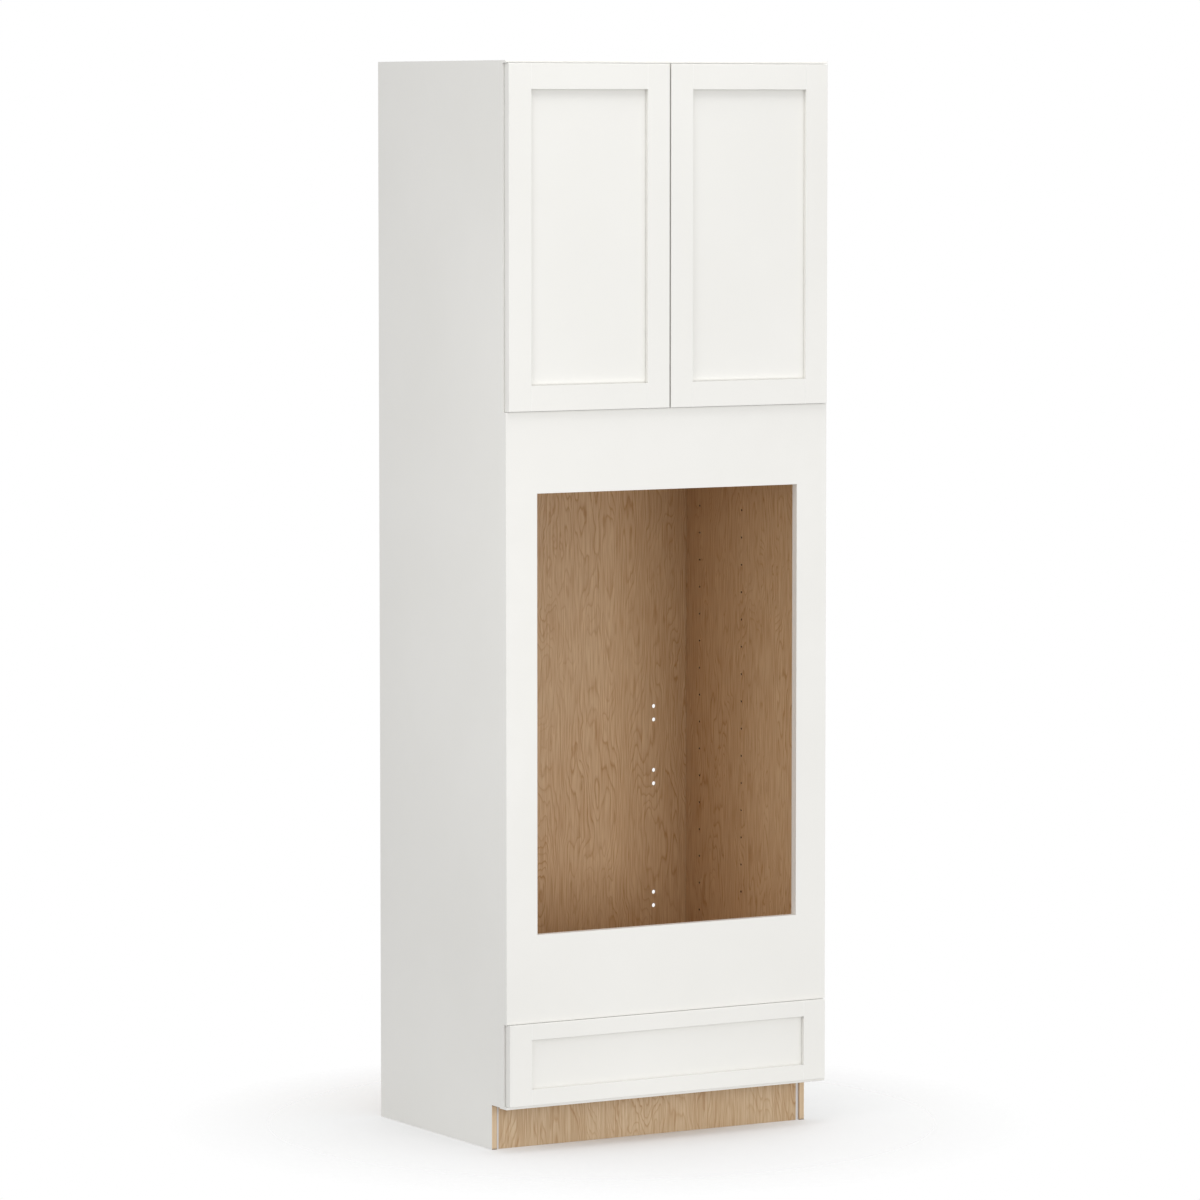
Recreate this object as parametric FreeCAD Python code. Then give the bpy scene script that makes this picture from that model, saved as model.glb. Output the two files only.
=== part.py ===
import FreeCAD, Part
import os

# Double oven cabinet: two doors above an oven opening, one drawer below it.
# Millimetres, +Z up, front towards -Y, origin on the floor at the middle of the footprint.
# Depths are measured backwards from the front of the oven face panel.

# Cabinet box
cabinet_width = 838.2
cabinet_height = 2438.4
cabinet_depth = 609.6
side_thickness = 12.7
deck_thickness = 12.7
oven_deck_thickness = 19.05
back_thickness = 3.2
frame_overhang = 6.35

# Hanging rails behind the back panel, with holes for the wall screws
hanging_rail_thickness = 14.3
hanging_rail_height = 101.6
wall_screw_radius = 2.6
wall_screw_spread = 406.4
wall_screw_inset = 50.8

# Face frame and oven face panel
frame_thickness = 19.05
frame_member_width = 38.1
face_panel_thickness = 19.05
face_lap_thickness = 12.7
face_fit_clearance = 0.2
opening_side_band = 79.4
opening_lower_band = 198.1
opening_upper_band = 182.2

# Toe space
toe_height = 101.6
toe_notch_depth = 79.4
toe_board_setback = 4.6
toe_board_thickness = 12.7
toe_end_strip_width = 6.7
toe_block_width = 38.1
toe_block_depth = 63.5

# Doors and drawer front
front_thickness = 19.05
front_gap = 3.2
face_gap = 0.8
side_reveal = 4.1
end_reveal = 6.35
bumper_gap = 1.2
door_height = 769.9
drawer_front_height = 184.15
front_stile_width = 57.15
door_rail_width = 57.15
drawer_rail_width = 36.0
panel_recess = 9.5
panel_tongue_thickness = 6.35
panel_groove_depth = 9.5
panel_edge_clearance = 0.5
groove_clearance = 0.1
edge_round = 1.5
bumper_radius = 4.0
bumper_thickness = 0.9
bumper_side_inset = 20.0
bumper_end_inset = 8.0

# Shelf, shelf pins and the line of holes that they fit
shelf_thickness = 19.05
shelf_side_clearance = 1.5
shelf_front_setback = 25.4
shelf_back_clearance = 3.0
pin_pitch = 64.0
pin_first_rise = 63.0
pin_top_margin = 76.2
pin_hole_radius = 2.5
pin_hole_depth = 10.0
pin_fit_clearance = 0.05
pin_tongue_length = 9.0
pin_tongue_width = 10.0
pin_tongue_thickness = 2.0
pin_front_setback = 37.0
pin_middle_column = 340.0
pin_back_setback = 62.6

# Holes for the pegs of drawer slide brackets in the back panel, in pairs one above the other
bracket_hole_inset = 88.45
bracket_hole_pitch = 32.0
bracket_hole_radius = 4.75
drawer_pair_rise = 31.0
first_spare_pair = 463.7
second_spare_pair = 754.5
third_spare_pair = 906.5

# Drawer box
box_rear_clearance = 46.8
box_height = 101.6
box_thickness = 15.9
box_side_clearance = 6.35
box_bottom_thickness = 6.35
box_bottom_rise = 12.7
box_floor_clearance = 12.7
box_groove_depth = 6.35
dovetail_count = 3
dovetail_pitch = 25.4
dovetail_inset = 16.0
dovetail_width = 6.0
dovetail_flare = 2.2
front_screw_radius = 2.0
front_screw_head_radius = 4.5
front_screw_head_thickness = 2.5
front_screw_depth = 7.0
front_screw_inset = 25.4

# Telescopic slide: a hollow I-section between two lipped channels
rail_width = 32.0
rail_wall = 1.6
rail_height = 10.5
rail_mouth = 20.0
rail_clearance = 0.3
middle_web_width = 6.0
rail_inset = 2.0
rail_front_setback = 10.0
rail_rear_clearance = 29.95
middle_rail_shortfall = 40.0
drawer_rail_shortfall = 20.0
bracket_thickness = 2.0
bracket_plate_width = 21.0
bracket_edge_margin = 8.0
peg_head_radius = 6.5
peg_head_thickness = 1.5

# Concealed hinge: in-plane places are measured from the inner edge of the face stile
# (plus is towards the middle of the cabinet) and from the back of the door (plus is towards the wall).
hinge_end_inset = 101.6
cup_radius = 17.5
cup_bore_depth = 12.7
cup_bore_clearance = 0.1
cup_wall = 1.2
cup_centre_out = 11.0
cup_flange_thickness = 1.0
cup_flange_margin = 2.0
cup_dowel_in = 9.5
cup_dowel_spread = 45.0
cup_dowel_radius = 4.0
cup_dowel_depth = 11.0
cup_pivot_clearance = 0.8
cup_pivot_depth = 6.8
low_knee_in = 7.1
link_floor_clearance = 0.6
high_knee_in = 0.6
high_knee_depth = 0.8
arm_pivot_in = 14.0
arm_pivot_behind = 9.4
link_thickness = 2.2
link_width = 7.0
link_eye_radius = 2.8
link_side_clearance = 0.4
hinge_pin_radius = 1.5
hinge_pin_clearance = 0.05
cup_pin_length = 17.0
arm_base_thickness = 2.4
arm_base_length = 44.0
arm_base_front = 3.3
arm_base_width = 13.0
arm_ear_thickness = 2.5
arm_ear_radius = 3.5
arm_screw_radius = 2.0
arm_screw_head_radius = 3.8
arm_screw_head_thickness = 1.8
arm_screw_length = 16.0
arm_screw_offset = 14.0

# Places that follow from the sizes above
half_width = cabinet_width / 2
side_outer = half_width - frame_overhang
side_inner = side_outer - side_thickness
frame_front = face_lap_thickness
frame_back = frame_front + frame_thickness
frame_inner = half_width - frame_member_width
front_back = frame_front - bumper_gap
front_face = front_back - front_thickness
face_y = -(cabinet_depth + front_face) / 2
back_rear = cabinet_depth - hanging_rail_thickness
back_front = back_rear - back_thickness

front_outer = half_width - side_reveal
door_inner = front_gap / 2
door_top = cabinet_height - end_reveal
door_bottom = door_top - door_height
drawer_bottom = toe_height + end_reveal
drawer_top = drawer_bottom + drawer_front_height
face_top = door_bottom - face_gap
face_bottom = drawer_top + face_gap

top_rail_bottom = cabinet_height - frame_member_width
upper_rail_bottom = (door_bottom + face_top - frame_member_width) / 2
upper_rail_top = upper_rail_bottom + frame_member_width
lower_rail_bottom = (drawer_top + face_bottom - frame_member_width) / 2
lower_rail_top = lower_rail_bottom + frame_member_width
bottom_rail_top = toe_height + frame_member_width

bottom_top = bottom_rail_top
bottom_low = bottom_top - deck_thickness
oven_deck_top = lower_rail_top
oven_deck_low = oven_deck_top - oven_deck_thickness
cupboard_floor_top = upper_rail_top
cupboard_floor_low = cupboard_floor_top - deck_thickness
cupboard_ceiling = cabinet_height - deck_thickness

opening_side = half_width - opening_side_band
opening_low = face_bottom + opening_lower_band
opening_high = face_top - opening_upper_band

pin_front_column = frame_back + pin_front_setback
pin_back_column = back_front - pin_back_setback
pin_first_row = oven_deck_top + pin_first_rise
pin_row_count = int((cabinet_height - pin_top_margin - pin_first_row) / pin_pitch) + 1
shelf_row = round(((cupboard_floor_top + cupboard_ceiling) / 2 - pin_first_row) / pin_pitch)
shelf_pin_height = pin_first_row + shelf_row * pin_pitch
shelf_low = shelf_pin_height + pin_hole_radius

box_outer = frame_inner - box_side_clearance
box_inner = box_outer - box_thickness
box_low = bottom_top + box_floor_clearance
box_top = box_low + box_height
box_rear = back_front - box_rear_clearance
box_bottom_low = box_low + box_bottom_rise
rail_centre = box_inner - rail_inset - rail_width / 2
rail_top = box_bottom_low
rail_front = frame_back + rail_front_setback
cabinet_rail_rear = back_front - rail_rear_clearance
middle_rail_rear = cabinet_rail_rear - middle_rail_shortfall
drawer_rail_rear = cabinet_rail_rear - drawer_rail_shortfall
drawer_pair_height = bottom_top + drawer_pair_rise
bracket_hole_x = side_inner - bracket_hole_inset

hinge_heights = (door_bottom + hinge_end_inset, door_top - hinge_end_inset)
hinge_edge = -frame_inner
cup_floor = cup_bore_depth - cup_wall
cup_pivot_out = cup_centre_out + cup_radius - cup_wall - link_eye_radius - cup_pivot_clearance
low_knee_out = cup_pivot_out - low_knee_in
low_knee_depth = cup_floor - link_thickness / 2 - link_floor_clearance
link_reach = link_width / 2
ear_inner = link_reach + link_side_clearance
ear_outer = ear_inner + arm_ear_thickness

os.makedirs("parts", exist_ok=True)


def point(x, depth, z):
    return FreeCAD.Vector(x, face_y + depth, z)


def board(x_low, x_high, front, back, z_low, z_high):
    corner = point(x_low, front, z_low)
    return Part.makeBox(x_high - x_low, back - front, z_high - z_low, corner)


def rod(radius, start, end):
    run = end - start
    return Part.makeCylinder(radius, run.Length, start, run)


def mirrored(shape):
    return shape.mirror(FreeCAD.Vector(0, 0, 0), FreeCAD.Vector(1, 0, 0))


def pair(right):
    return [mirrored(right), right]


def prism(profile, front, back):
    corners = [point(x, front, z) for x, z in profile]
    face = Part.Face(Part.makePolygon(corners + corners[:1]))
    return face.extrude(FreeCAD.Vector(0, back - front, 0))


def save(name, solids):
    shape = solids[0] if len(solids) == 1 else Part.makeCompound(solids)
    shape.exportStep("parts/" + name + ".step")


# Rounds the front edges that lie on the given outer limits of a board
def round_front(shape, front, x_limits, z_limits):
    front_y = face_y + front
    chosen = []
    for edge in shape.Edges:
        box = edge.BoundBox
        if max(abs(box.YMin - front_y), abs(box.YMax - front_y)) > 1e-4:
            continue
        on_x = any(max(abs(box.XMin - x), abs(box.XMax - x)) < 1e-4 for x in x_limits)
        on_z = any(max(abs(box.ZMin - z), abs(box.ZMax - z)) < 1e-4 for z in z_limits)
        if on_x or on_z:
            chosen.append(edge)
    return shape.makeFillet(edge_round, chosen)


# Side panels, with the toe notch and the lines of shelf-pin holes
def shelf_pin_holes():
    holes = []
    for depth in (pin_front_column, pin_middle_column, pin_back_column):
        for row in range(pin_row_count):
            z = pin_first_row + row * pin_pitch
            start = point(-side_inner, depth, z)
            holes.append(rod(pin_hole_radius, start, start - FreeCAD.Vector(pin_hole_depth, 0, 0)))
    return holes


def left_side():
    panel = board(-side_outer, -side_inner, frame_back, cabinet_depth, 0, cabinet_height)
    notch = board(-side_outer, -side_inner, frame_back, toe_notch_depth, 0, toe_height)
    return panel.cut(notch).cut(Part.makeCompound(shelf_pin_holes()))


# Back panel and the hanging rails behind it
def wall_screw_holes():
    holes = []
    for z in (bottom_low + wall_screw_inset, cabinet_height - wall_screw_inset):
        for x in (-wall_screw_spread / 2, wall_screw_spread / 2):
            holes.append(rod(wall_screw_radius, point(x, back_front, z), point(x, cabinet_depth, z)))
    return Part.makeCompound(holes)


def bracket_holes():
    holes = []
    for height in (drawer_pair_height, first_spare_pair, second_spare_pair, third_spare_pair):
        for z in (height - bracket_hole_pitch / 2, height + bracket_hole_pitch / 2):
            for x in (-bracket_hole_x, bracket_hole_x):
                holes.append(rod(bracket_hole_radius, point(x, back_front, z), point(x, back_rear, z)))
    return Part.makeCompound(holes)


def back_panel():
    panel = board(-side_inner, side_inner, back_front, back_rear, bottom_low, cabinet_height)
    return panel.cut(bracket_holes()).cut(wall_screw_holes())


def hanging_rail(z_low):
    rail = board(-side_inner, side_inner, back_rear, cabinet_depth, z_low, z_low + hanging_rail_height)
    return rail.cut(wall_screw_holes())


# Decks between the side panels
def deck(z_low, thickness):
    return board(-side_inner, side_inner, frame_back, back_front, z_low, z_low + thickness)


def oven_deck_cleats():
    low = oven_deck_low - frame_member_width
    return pair(board(frame_inner, side_inner, frame_back, back_front, low, oven_deck_low))


# Face frame
def hinge_screw_points():
    points = []
    for height in hinge_heights:
        for offset in (-arm_screw_offset, arm_screw_offset):
            depth = front_back + arm_base_front + arm_base_width / 2
            points.append(point(hinge_edge, depth, height + offset))
    return points


def left_face_stile():
    stile = board(-half_width, -frame_inner, frame_front, frame_back, toe_height, cabinet_height)
    pilot = arm_screw_radius + pin_fit_clearance
    for spot in hinge_screw_points():
        stile = stile.cut(rod(pilot, spot, spot - FreeCAD.Vector(arm_screw_length, 0, 0)))
    return stile


def face_rail(z_low):
    z_high = z_low + frame_member_width
    return board(-frame_inner, frame_inner, frame_front, frame_back, z_low, z_high)


# Strip glued over the end of the frame, level with the oven face panel
def nosing(z_low, z_high, outer):
    strip = board(-half_width, half_width, 0, frame_front, z_low, z_high)
    return round_front(strip, 0, (-half_width, half_width), (outer,))


# Painted panel round the oven opening: its back half stands inside the frame, its front laps over it
def oven_face_panel():
    lap = board(-half_width, half_width, 0, face_lap_thickness, face_bottom, face_top)
    lap = round_front(lap, 0, (-half_width, half_width), ())
    edge = frame_inner - face_fit_clearance
    low = lower_rail_top + face_fit_clearance
    high = upper_rail_bottom - face_fit_clearance
    tongue = board(-edge, edge, face_lap_thickness, face_panel_thickness, low, high)
    opening = board(-opening_side, opening_side, 0, face_panel_thickness, opening_low, opening_high)
    return lap.fuse(tongue).removeSplitter().cut(opening)


# Toe space
toe_front = toe_notch_depth + toe_board_setback
toe_rear = toe_front + toe_board_thickness
toe_board_end = side_inner - toe_end_strip_width


def toe_kick_board():
    return board(-toe_board_end, toe_board_end, toe_front, toe_rear, 0, bottom_low)


def toe_end_strips():
    return pair(board(toe_board_end, side_inner, toe_front, toe_rear, 0, bottom_low))


def toe_kick_blocks():
    block_inner = side_inner - toe_block_width
    block_rear = toe_rear + toe_block_depth
    return pair(board(block_inner, side_inner, toe_rear, block_rear, 0, bottom_low))


# Cupboard shelf and its four pins
def cupboard_shelf():
    edge = side_inner - shelf_side_clearance
    front = frame_back + shelf_front_setback
    back = back_front - shelf_back_clearance
    return board(-edge, edge, front, back, shelf_low, shelf_low + shelf_thickness)


def shelf_pins():
    pins = []
    for depth in (pin_front_column, pin_back_column):
        wall = point(side_inner, depth, shelf_pin_height)
        peg_end = wall + FreeCAD.Vector(pin_hole_depth - pin_fit_clearance, 0, 0)
        peg = rod(pin_hole_radius - pin_fit_clearance, wall, peg_end)
        half = pin_tongue_width / 2
        inner = side_inner - pin_tongue_length
        low = shelf_low - pin_tongue_thickness
        tongue = board(inner, side_inner, depth - half, depth + half, low, shelf_low)
        pin = peg.fuse(tongue).removeSplitter()
        pins.append(pin)
        pins.append(mirrored(pin))
    return pins


# A framed front: two stiles, two rails with stub tenons, and a recessed panel, flush at the back,
# whose tongue sits in their grooves
def groove(x_low, x_high, z_low, z_high):
    front = front_face + panel_recess
    return board(x_low, x_high, front, front + panel_tongue_thickness + 2 * groove_clearance, z_low, z_high)


def framed_front(x_low, x_high, z_low, z_high, rail):
    inner_low = x_low + front_stile_width
    inner_high = x_high - front_stile_width
    groove_left = inner_low - panel_groove_depth
    groove_right = inner_high + panel_groove_depth
    ends = (z_low, z_high)

    stile_low = board(x_low, inner_low, front_face, front_back, z_low, z_high)
    stile_low = round_front(stile_low, front_face, (x_low,), ends)
    stile_low = stile_low.cut(groove(groove_left, inner_low, z_low, z_high))
    stile_high = board(inner_high, x_high, front_face, front_back, z_low, z_high)
    stile_high = round_front(stile_high, front_face, (x_high,), ends)
    stile_high = stile_high.cut(groove(inner_high, groove_right, z_low, z_high))

    tenon_front = front_face + panel_recess + groove_clearance
    tenon_left = groove_left + panel_edge_clearance
    tenon_right = groove_right - panel_edge_clearance
    rails = []
    for rail_low, inner, outer in ((z_low, z_low + rail, z_low), (z_high - rail, z_high - rail, z_high)):
        body = board(inner_low, inner_high, front_face, front_back, rail_low, rail_low + rail)
        body = round_front(body, front_face, (), (outer,))
        tenon_back = tenon_front + panel_tongue_thickness
        tenon = board(tenon_left, tenon_right, tenon_front, tenon_back, rail_low, rail_low + rail)
        bottom = inner - panel_groove_depth if outer == z_low else inner
        body = body.fuse(tenon)
        body = body.cut(groove(groove_left, groove_right, bottom, bottom + panel_groove_depth))
        rails.append(body)

    reach = panel_groove_depth - panel_edge_clearance
    tongue_back = tenon_front + panel_tongue_thickness
    low = z_low + rail
    high = z_high - rail
    tongue = board(inner_low - reach, inner_high + reach, tenon_front, tongue_back, low - reach, high + reach)
    gap = panel_edge_clearance
    body = board(inner_low + gap, inner_high - gap, tongue_back, front_back, low + gap, high - gap)
    return stile_low, stile_high, rails[0], rails[1], tongue.fuse(body)


# Concealed hinge of the left door, worked out in plan at each hinge height
def hinge_point(inward, behind, z):
    return point(hinge_edge + inward, front_back + behind, z)


def across(inward, behind, height, reach):
    return hinge_point(inward, behind, height - reach), hinge_point(inward, behind, height + reach)


# Wings of the cup, let in flush with the back of the door, and the dowels pressed into it
def cup_wings(height, gap):
    inward = cup_dowel_in - cup_centre_out
    half = cup_dowel_radius + cup_flange_margin + gap
    reach = cup_dowel_spread / 2
    left = hinge_edge + inward - half
    floor = front_back - cup_flange_thickness - gap
    wings = board(left, left + 2 * half, floor, front_back, height - reach, height + reach)
    for z in (height - reach, height + reach):
        centre = hinge_point(inward, 0, z)
        end = rod(half, centre, centre - FreeCAD.Vector(0, cup_flange_thickness + gap, 0))
        dowel_end = centre - FreeCAD.Vector(0, cup_dowel_depth + gap, 0)
        wings = wings.fuse(end).fuse(rod(cup_dowel_radius + gap, centre, dowel_end))
    return wings


def cup_bore(height):
    start = hinge_point(-cup_centre_out, 0, height)
    bore = rod(cup_radius, start, start - FreeCAD.Vector(0, cup_bore_depth, 0))
    return bore.fuse(cup_wings(height, cup_bore_clearance))


def hinge_cup(height):
    mouth = hinge_point(-cup_centre_out, 0, height)
    body_depth = cup_bore_depth - cup_bore_clearance
    body = rod(cup_radius - cup_bore_clearance, mouth, mouth - FreeCAD.Vector(0, body_depth, 0))
    body = body.fuse(cup_wings(height, 0)).removeSplitter()
    inside = rod(cup_radius - cup_wall, mouth, mouth - FreeCAD.Vector(0, cup_floor, 0))
    slot_left = hinge_edge - cup_centre_out - cup_radius
    slot_right = hinge_edge - cup_centre_out + cup_radius
    slot_low = height - ear_inner
    slot_high = height + ear_inner
    slot = board(slot_left, slot_right, front_back - cup_floor, front_back, slot_low, slot_high)
    low, high = across(-cup_pivot_out, -cup_pivot_depth, height, cup_pin_length / 2)
    pin_hole = rod(hinge_pin_radius + hinge_pin_clearance, low, high)
    return body.cut(inside.common(slot)).cut(pin_hole)


def cup_pin(height):
    low, high = across(-cup_pivot_out, -cup_pivot_depth, height, cup_pin_length / 2)
    return rod(hinge_pin_radius, low, high)


def link_bar(start, end):
    half = link_thickness / 2
    run = end - start
    side = FreeCAD.Vector(-run.y, run.x, 0).normalize() * half
    corners = [start + side, end + side, end - side, start - side]
    face = Part.Face(Part.makePolygon(corners + corners[:1]))
    return face.extrude(FreeCAD.Vector(0, 0, link_width))


def hinge_link(height):
    low = height - link_reach
    rise = FreeCAD.Vector(0, 0, link_width)
    path = [hinge_point(-cup_pivot_out, -cup_pivot_depth, low)]
    path.append(hinge_point(-low_knee_out, -low_knee_depth, low))
    path.append(hinge_point(high_knee_in, -high_knee_depth, low))
    path.append(hinge_point(arm_pivot_in, arm_pivot_behind, low))
    link = rod(link_eye_radius, path[0], path[0] + rise)
    link = link.fuse(rod(link_eye_radius, path[-1], path[-1] + rise))
    for knee in path[1:-1]:
        link = link.fuse(rod(link_thickness / 2, knee, knee + rise))
    for start, end in zip(path, path[1:]):
        link = link.fuse(link_bar(start, end))
    bore = hinge_pin_radius + hinge_pin_clearance
    for pivot in (path[0], path[-1]):
        link = link.cut(rod(bore, pivot, pivot + rise))
    return link.removeSplitter()


def hinge_arm(height):
    base_right = hinge_edge + arm_base_thickness
    front = front_back + arm_base_front
    back = front + arm_base_width
    half = arm_base_length / 2
    arm = board(hinge_edge, base_right, front, back, height - half, height + half)
    pivot_x = hinge_edge + arm_pivot_in
    pivot_depth = front_back + arm_pivot_behind
    ear_front = pivot_depth - arm_ear_radius
    ear_back = pivot_depth + arm_ear_radius
    for z in (height - ear_outer, height + ear_inner):
        ear = board(hinge_edge, pivot_x, ear_front, ear_back, z, z + arm_ear_thickness)
        centre = point(pivot_x, pivot_depth, z)
        ear = ear.fuse(rod(arm_ear_radius, centre, centre + FreeCAD.Vector(0, 0, arm_ear_thickness)))
        arm = arm.fuse(ear)
    low, high = across(arm_pivot_in, arm_pivot_behind, height, ear_outer)
    arm = arm.cut(rod(hinge_pin_radius + hinge_pin_clearance, low, high))
    for offset in (-arm_screw_offset, arm_screw_offset):
        spot = point(hinge_edge, (front + back) / 2, height + offset)
        seat = spot + FreeCAD.Vector(arm_base_thickness, 0, 0)
        arm = arm.cut(rod(arm_screw_radius + pin_fit_clearance, spot, seat))
    return arm.removeSplitter()


def arm_pin(height):
    low, high = across(arm_pivot_in, arm_pivot_behind, height, ear_outer)
    return rod(hinge_pin_radius, low, high)


def hinge_screws():
    screws = []
    for spot in hinge_screw_points():
        seat = spot + FreeCAD.Vector(arm_base_thickness, 0, 0)
        tip = spot - FreeCAD.Vector(arm_screw_length, 0, 0)
        head = rod(arm_screw_head_radius, seat, seat + FreeCAD.Vector(arm_screw_head_thickness, 0, 0))
        screws.append(rod(arm_screw_radius, tip, seat).fuse(head))
    return screws


def door_bumpers():
    bumpers = []
    x = -door_inner - bumper_side_inset
    for z in (door_bottom + bumper_end_inset, door_top - bumper_end_inset):
        start = point(x, front_back, z)
        bumpers.append(rod(bumper_radius, start, start + FreeCAD.Vector(0, bumper_thickness, 0)))
    return bumpers


# Drawer box behind the drawer front
def box_groove(x_low, x_high, front, back):
    low = box_bottom_low - groove_clearance
    return board(x_low, x_high, front, back, low, box_bottom_low + box_bottom_thickness + groove_clearance)


# Dovetail pins on the right-hand end of a board, narrow at the outer face of the box
def corner_pins(outer, inner):
    pins = []
    narrow = dovetail_width / 2
    wide = narrow + dovetail_flare
    for row in range(dovetail_count):
        z = box_top - dovetail_inset - row * dovetail_pitch
        corners = [point(box_inner, outer, z - narrow), point(box_inner, outer, z + narrow)]
        corners += [point(box_inner, inner, z + wide), point(box_inner, inner, z - wide)]
        face = Part.Face(Part.makePolygon(corners + corners[:1]))
        pins.append(face.extrude(FreeCAD.Vector(box_thickness, 0, 0)))
    return pins


def pinned(end_board, pins):
    for pin in pins:
        end_board = end_board.fuse(pin).fuse(mirrored(pin))
    return end_board.removeSplitter()


def front_pins():
    return corner_pins(front_back, front_back + box_thickness)


def back_pins():
    return corner_pins(box_rear, box_rear - box_thickness)


def box_side():
    side = board(box_inner, box_outer, front_back, box_rear, box_low, box_top)
    side = side.cut(box_groove(box_inner, box_inner + box_groove_depth, front_back, box_rear))
    return side.cut(Part.makeCompound(front_pins() + back_pins()))


def box_front():
    back = front_back + box_thickness
    front = board(-box_inner, box_inner, front_back, back, box_low, box_top)
    front = front.cut(box_groove(-box_inner, box_inner, back - box_groove_depth, back))
    front = pinned(front, front_pins())
    return front.cut(Part.makeCompound(front_screw_shanks(front_screw_radius + pin_fit_clearance)))


def box_back():
    low = box_bottom_low + box_bottom_thickness + groove_clearance
    back = board(-box_inner, box_inner, box_rear - box_thickness, box_rear, low, box_top)
    return pinned(back, back_pins())


def box_bottom():
    edge = box_inner + box_groove_depth - panel_edge_clearance
    front = front_back + box_thickness - box_groove_depth + panel_edge_clearance
    high = box_bottom_low + box_bottom_thickness
    return board(-edge, edge, front, box_rear, box_bottom_low, high)


# Screws from inside the box into the panel of the drawer front
def front_screw_points():
    reach = box_inner - front_screw_inset
    heights = (box_low + front_screw_inset, box_top - front_screw_inset)
    return [(x, z) for x in (-reach, reach) for z in heights]


def front_screw_shanks(radius):
    shanks = []
    for x, z in front_screw_points():
        tip = point(x, front_back - front_screw_depth, z)
        shanks.append(rod(radius, tip, point(x, front_back + box_thickness, z)))
    return shanks


def front_screws():
    screws = []
    head_depth = front_back + box_thickness
    for shank, (x, z) in zip(front_screw_shanks(front_screw_radius), front_screw_points()):
        start = point(x, head_depth, z)
        head = rod(front_screw_head_radius, start, start + FreeCAD.Vector(0, front_screw_head_thickness, 0))
        screws.append(shank.fuse(head))
    return screws


# Slides under the drawer box
def channel(sole, rise):
    outer = rail_width / 2
    inner = outer - rail_wall
    lip = rail_mouth / 2
    profile = [(-outer, 0), (outer, 0), (outer, rail_height), (lip, rail_height)]
    profile += [(lip, rail_height - rail_wall), (inner, rail_height - rail_wall), (inner, rail_wall)]
    profile += [(-inner, rail_wall), (-inner, rail_height - rail_wall), (-lip, rail_height - rail_wall)]
    profile += [(-lip, rail_height), (-outer, rail_height)]
    return [(rail_centre + x, sole + rise * z) for x, z in profile]


def cabinet_rail():
    return prism(channel(bottom_top, 1), rail_front, cabinet_rail_rear)


def drawer_rail():
    return prism(channel(rail_top, -1), rail_front, drawer_rail_rear)


def middle_rail():
    flange = rail_width / 2 - rail_wall - rail_clearance
    web = middle_web_width / 2
    low = bottom_top + rail_wall + rail_clearance
    low_top = bottom_top + rail_height - rail_wall - rail_clearance
    high = rail_top - rail_wall - rail_clearance
    high_low = rail_top - rail_height + rail_wall + rail_clearance
    right = [(flange, low), (flange, low_top), (web, low_top)]
    right += [(web, high_low), (flange, high_low), (flange, high)]
    left = [(-x, z) for x, z in reversed(right)]
    profile = [(rail_centre + x, z) for x, z in right + left]
    rail = prism(profile, rail_front, middle_rail_rear)
    hollow_left = rail_centre - flange + rail_wall
    hollow_right = rail_centre + flange - rail_wall
    for base, top in ((low, low_top), (high_low, high)):
        hollow_low = base + rail_wall
        hollow_high = top - rail_wall
        hollow = board(hollow_left, hollow_right, rail_front, middle_rail_rear, hollow_low, hollow_high)
        rail = rail.cut(hollow)
    return rail


def rear_bracket():
    plate_left = bracket_hole_x - bracket_plate_width / 2
    plate_right = bracket_hole_x + bracket_plate_width / 2
    top = drawer_pair_height + bracket_hole_pitch / 2 + bracket_edge_margin
    plate = board(plate_left, plate_right, back_front - bracket_thickness, back_front, bottom_top, top)
    foot_end = rail_centre + rail_width / 2
    foot_top = bottom_top + bracket_thickness
    foot = board(plate_left, foot_end, cabinet_rail_rear, back_front, bottom_top, foot_top)
    bracket = plate.fuse(foot).removeSplitter()
    return bracket.cut(Part.makeCompound(bracket_pegs(bracket_hole_radius, bracket_hole_radius)))


# Pegs through the plate of the bracket into the back panel
def bracket_pegs(radius, head_radius):
    pegs = []
    for z in (drawer_pair_height - bracket_hole_pitch / 2, drawer_pair_height + bracket_hole_pitch / 2):
        seat = point(bracket_hole_x, back_front - bracket_thickness, z)
        head = rod(head_radius, seat - FreeCAD.Vector(0, peg_head_thickness, 0), seat)
        pegs.append(head.fuse(rod(radius, seat, point(bracket_hole_x, back_rear, z))).removeSplitter())
    return pegs


# Carcass
save("left_side_panel", [left_side()])
save("right_side_panel", [mirrored(left_side())])
save("back_panel", [back_panel()])
save("top_panel", [deck(cupboard_ceiling, deck_thickness)])
save("cupboard_floor", [deck(cupboard_floor_low, deck_thickness)])
save("oven_deck", [deck(oven_deck_low, oven_deck_thickness)])
save("oven_deck_cleats", oven_deck_cleats())
save("bottom_panel", [deck(bottom_low, deck_thickness)])
save("top_hanging_rail", [hanging_rail(cabinet_height - hanging_rail_height)])
save("middle_hanging_rail", [hanging_rail(cupboard_floor_low)])
save("lower_hanging_rail", [hanging_rail(bottom_low)])

# Face frame, oven face panel and toe space
save("left_face_stile", [left_face_stile()])
save("right_face_stile", [mirrored(left_face_stile())])
top_nosing = nosing(door_top + face_gap, cabinet_height, cabinet_height)
save("face_top_rail", [face_rail(top_rail_bottom), top_nosing])
save("face_upper_rail", [face_rail(upper_rail_bottom)])
save("face_lower_rail", [face_rail(lower_rail_bottom)])
bottom_nosing = nosing(toe_height, drawer_bottom - face_gap, toe_height)
save("face_bottom_rail", [face_rail(toe_height), bottom_nosing])
save("oven_face_panel", [oven_face_panel()])
save("toe_kick_board", [toe_kick_board()])
save("toe_kick_end_strips", toe_end_strips())
save("toe_kick_blocks", toe_kick_blocks())

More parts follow.
